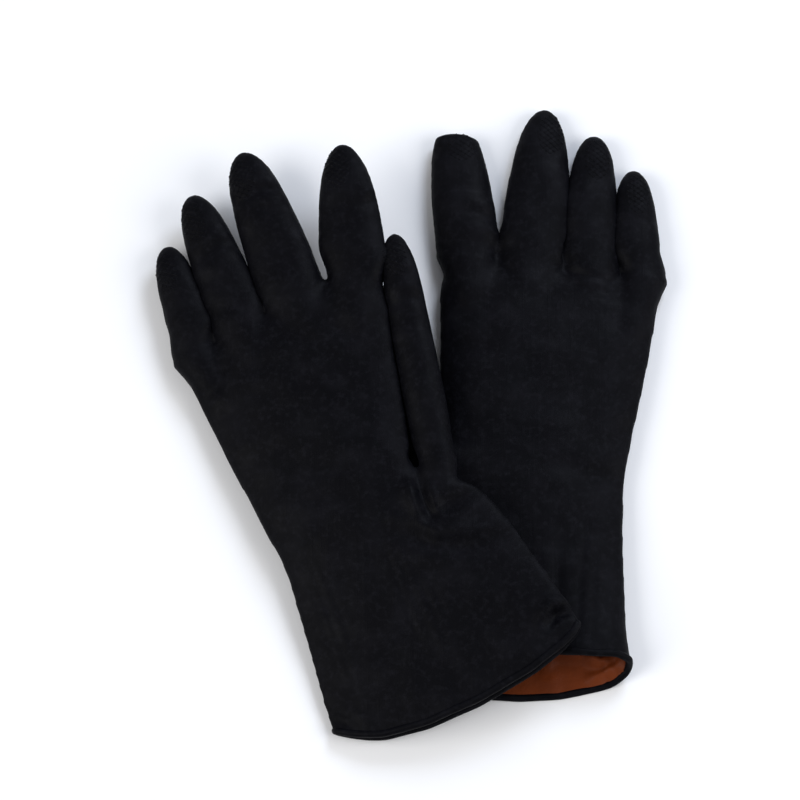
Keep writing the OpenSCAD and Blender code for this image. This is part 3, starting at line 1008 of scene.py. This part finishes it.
class GLOVES_OT_grips(bpy.types.Operator):
    """Raised diamond grips on the fingertip pads"""
    bl_idname = "gloves.grips"
    bl_label = "Fingertip grips"

    def execute(self, context):
        for side in SIDES:
            shape = glove_shape(side)
            origin, axes = hand_frame(side)
            tree = BVHTree.FromPolygons(shape["points"].tolist(), shape["quads"].tolist())
            for name in STALLS:
                self.make(side, name, tree, origin, axes)
        return {"FINISHED"}

    def make(self, side, name, tree, origin, axes):
        from_tip, shift, half_long, half_wide = GRIPS[side][name]
        root, lean = stall_axis(side, name, False)
        middle = LAY[side][name][2] - from_tip
        us = np.arange(-half_long, half_long + GRIP_STEP, GRIP_STEP)
        vs = np.arange(-half_wide, half_wide + GRIP_STEP, GRIP_STEP)
        u, v = np.meshgrid(us, vs, indexing="ij")
        along, across = middle + u, shift + v
        x = root[0] + along * math.sin(lean) + across * math.cos(lean)
        y = root[1] + along * math.cos(lean) - across * math.sin(lean)
        above = 60.0
        start = origin + (np.stack([x, y, np.full_like(x, above)], axis=-1) * MM) @ axes
        down = Vector(-axes[2])
        hit = np.full(start.shape, np.nan)
        for i in range(len(us)):
            for j in range(len(vs)):
                place = tree.ray_cast(Vector(start[i, j]), down)[0]
                if place is not None:
                    hit[i, j] = place
        relief, rim = grip_relief(u, v, half_long, half_wide)
        good = (rim > 0.0) & ~np.isnan(hit[..., 0])
        filled = np.where(np.isnan(hit), 0, hit)
        du = np.gradient(filled, axis=0)
        dv = np.gradient(filled, axis=1)
        normal = np.cross(du, dv)
        normal *= np.sign(normal @ axes[2])[..., None]
        normal /= np.maximum(np.linalg.norm(normal, axis=-1, keepdims=True), 1e-12)
        tall = finish().grip_height
        top = filled + normal * (relief * tall - 0.06 * MM)[..., None]
        under = filled - normal * 0.5 * MM
        cell = good[:-1, :-1] & good[1:, :-1] & good[:-1, 1:] & good[1:, 1:]
        count = u.size
        index = np.arange(count).reshape(u.shape)
        i, j = np.nonzero(cell)
        quads = np.stack([index[i, j], index[i + 1, j], index[i + 1, j + 1], index[i, j + 1]], axis=1)
        points = top.reshape(-1, 3)
        low = under.reshape(-1, 3)
        points, quads, low = drop_unused(points, quads, low)
        face = np.cross(points[quads[:, 2]] - points[quads[:, 0]], points[quads[:, 3]] - points[quads[:, 1]])
        if (face @ axes[2]).mean() < 0:
            quads = quads[:, ::-1]
        n = len(points)
        edge = open_edges(quads)
        walls = np.stack([edge[:, 1], edge[:, 0], edge[:, 0] + n, edge[:, 1] + n], axis=1)
        faces = np.concatenate([quads, quads[:, ::-1] + n, walls])
        ob = new_piece(f"{side}_{name}_grip", np.concatenate([points, low]), faces.tolist(),
                       outer_rubber(side))
        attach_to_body(ob, side + "_" + name)


# ---------------------------------------------------------------- stage

def soft_light(name, place, aim, size, power, colour):
    light = bpy.data.lights.new(name, "AREA")
    light.shape = "RECTANGLE"
    light.size, light.size_y = size
    light.energy = power
    light.color = colour
    ob = bpy.data.objects.new(name, light)
    bpy.context.scene.collection.objects.link(ob)
    ob.location = place
    ob.rotation_euler = (Vector(aim) - Vector(place)).to_track_quat("-Z", "Y").to_euler()
    return ob


class GLOVES_OT_stage(bpy.types.Operator):
    """Plain pale floor, soft studio lights and the camera"""
    bl_idname = "gloves.stage"
    bl_label = "Stage"

    def execute(self, context):
        setup = context.scene.glove_stage
        low, high = (Vector(c) for c in CAD_BOX)
        middle = (low + high) / 2
        reach = 4.0
        turns = np.linspace(0, 2 * math.pi, 64, endpoint=False)
        ring = [(reach * math.cos(a), reach * math.sin(a), 0) for a in turns]
        floor = new_piece("floor", ring, [tuple(range(64))], floor_paint())
        floor.location.z = -0.0004

        world = bpy.data.worlds.new("studio")
        world.use_nodes = True
        world.node_tree.nodes["Background"].inputs["Color"].default_value = (0.93, 0.95, 1, 1)
        world.node_tree.nodes["Background"].inputs["Strength"].default_value = 0.30
        context.scene.world = world
        soft_light("left_softbox", (-1.5, -0.5, 1.3), middle, (1.4, 1.4), 26, (1, 0.99, 0.97))
        soft_light("right_softbox", (1.5, -0.4, 1.2), middle, (1.3, 1.3), 20, (1, 1, 1))
        soft_light("back_softbox", (0.75, 1.25, 1.25), (0.08, 0.12, 0), (0.8, 0.8), 20, (0.78, 0.86, 1))

        camera = bpy.data.cameras.new("camera")
        camera.sensor_width = 36
        camera.lens = camera.sensor_width * setup.view_distance / setup.view_width
        camera.clip_end = 20
        ob = bpy.data.objects.new("camera", camera)
        context.scene.collection.objects.link(ob)
        target = Vector((middle.x - 0.0045, middle.y + 0.016, 0))
        tilt = setup.view_elevation
        ob.location = target + setup.view_distance * Vector((0, -math.cos(tilt), math.sin(tilt)))
        ob.rotation_euler = (math.pi / 2 - tilt, 0, 0)
        context.scene.camera = ob
        context.scene.view_settings.view_transform = "Standard"
        return {"FINISHED"}


class GLOVES_PT_panel(bpy.types.Panel):
    """Sizes, finishes and steps of the gloves"""
    bl_idname = "GLOVES_PT_panel"
    bl_label = "Insulating Gloves"
    bl_space_type = "VIEW_3D"
    bl_region_type = "UI"
    bl_category = "Gloves"

    def draw(self, context):
        for owner in ("glove_sizes", "glove_finish", "glove_stage"):
            group = getattr(context.scene, owner)
            box = self.layout.box()
            for key in group.__annotations__:
                box.prop(group, key)
        for step in STEPS:
            self.layout.operator(step.bl_idname)


STEPS = (GLOVES_OT_stage, GLOVES_OT_skins, GLOVES_OT_linings, GLOVES_OT_rolls, GLOVES_OT_grips)
GROUPS = (GloveSizes, RubberFinish, StageSetup)


def register():
    for cls in GROUPS + STEPS + (GLOVES_PT_panel,):
        bpy.utils.register_class(cls)
    bpy.types.Scene.glove_sizes = bpy.props.PointerProperty(type=GloveSizes)
    bpy.types.Scene.glove_finish = bpy.props.PointerProperty(type=RubberFinish)
    bpy.types.Scene.glove_stage = bpy.props.PointerProperty(type=StageSetup)


def unregister():
    del bpy.types.Scene.glove_stage
    del bpy.types.Scene.glove_finish
    del bpy.types.Scene.glove_sizes
    for cls in reversed(GROUPS + STEPS + (GLOVES_PT_panel,)):
        bpy.utils.unregister_class(cls)


def main():
    register()
    bpy.ops.gloves.stage()
    bpy.ops.gloves.skins()
    bpy.ops.gloves.linings()
    bpy.ops.gloves.rolls()
    bpy.ops.gloves.grips()


if __name__ == "__main__":
    main()
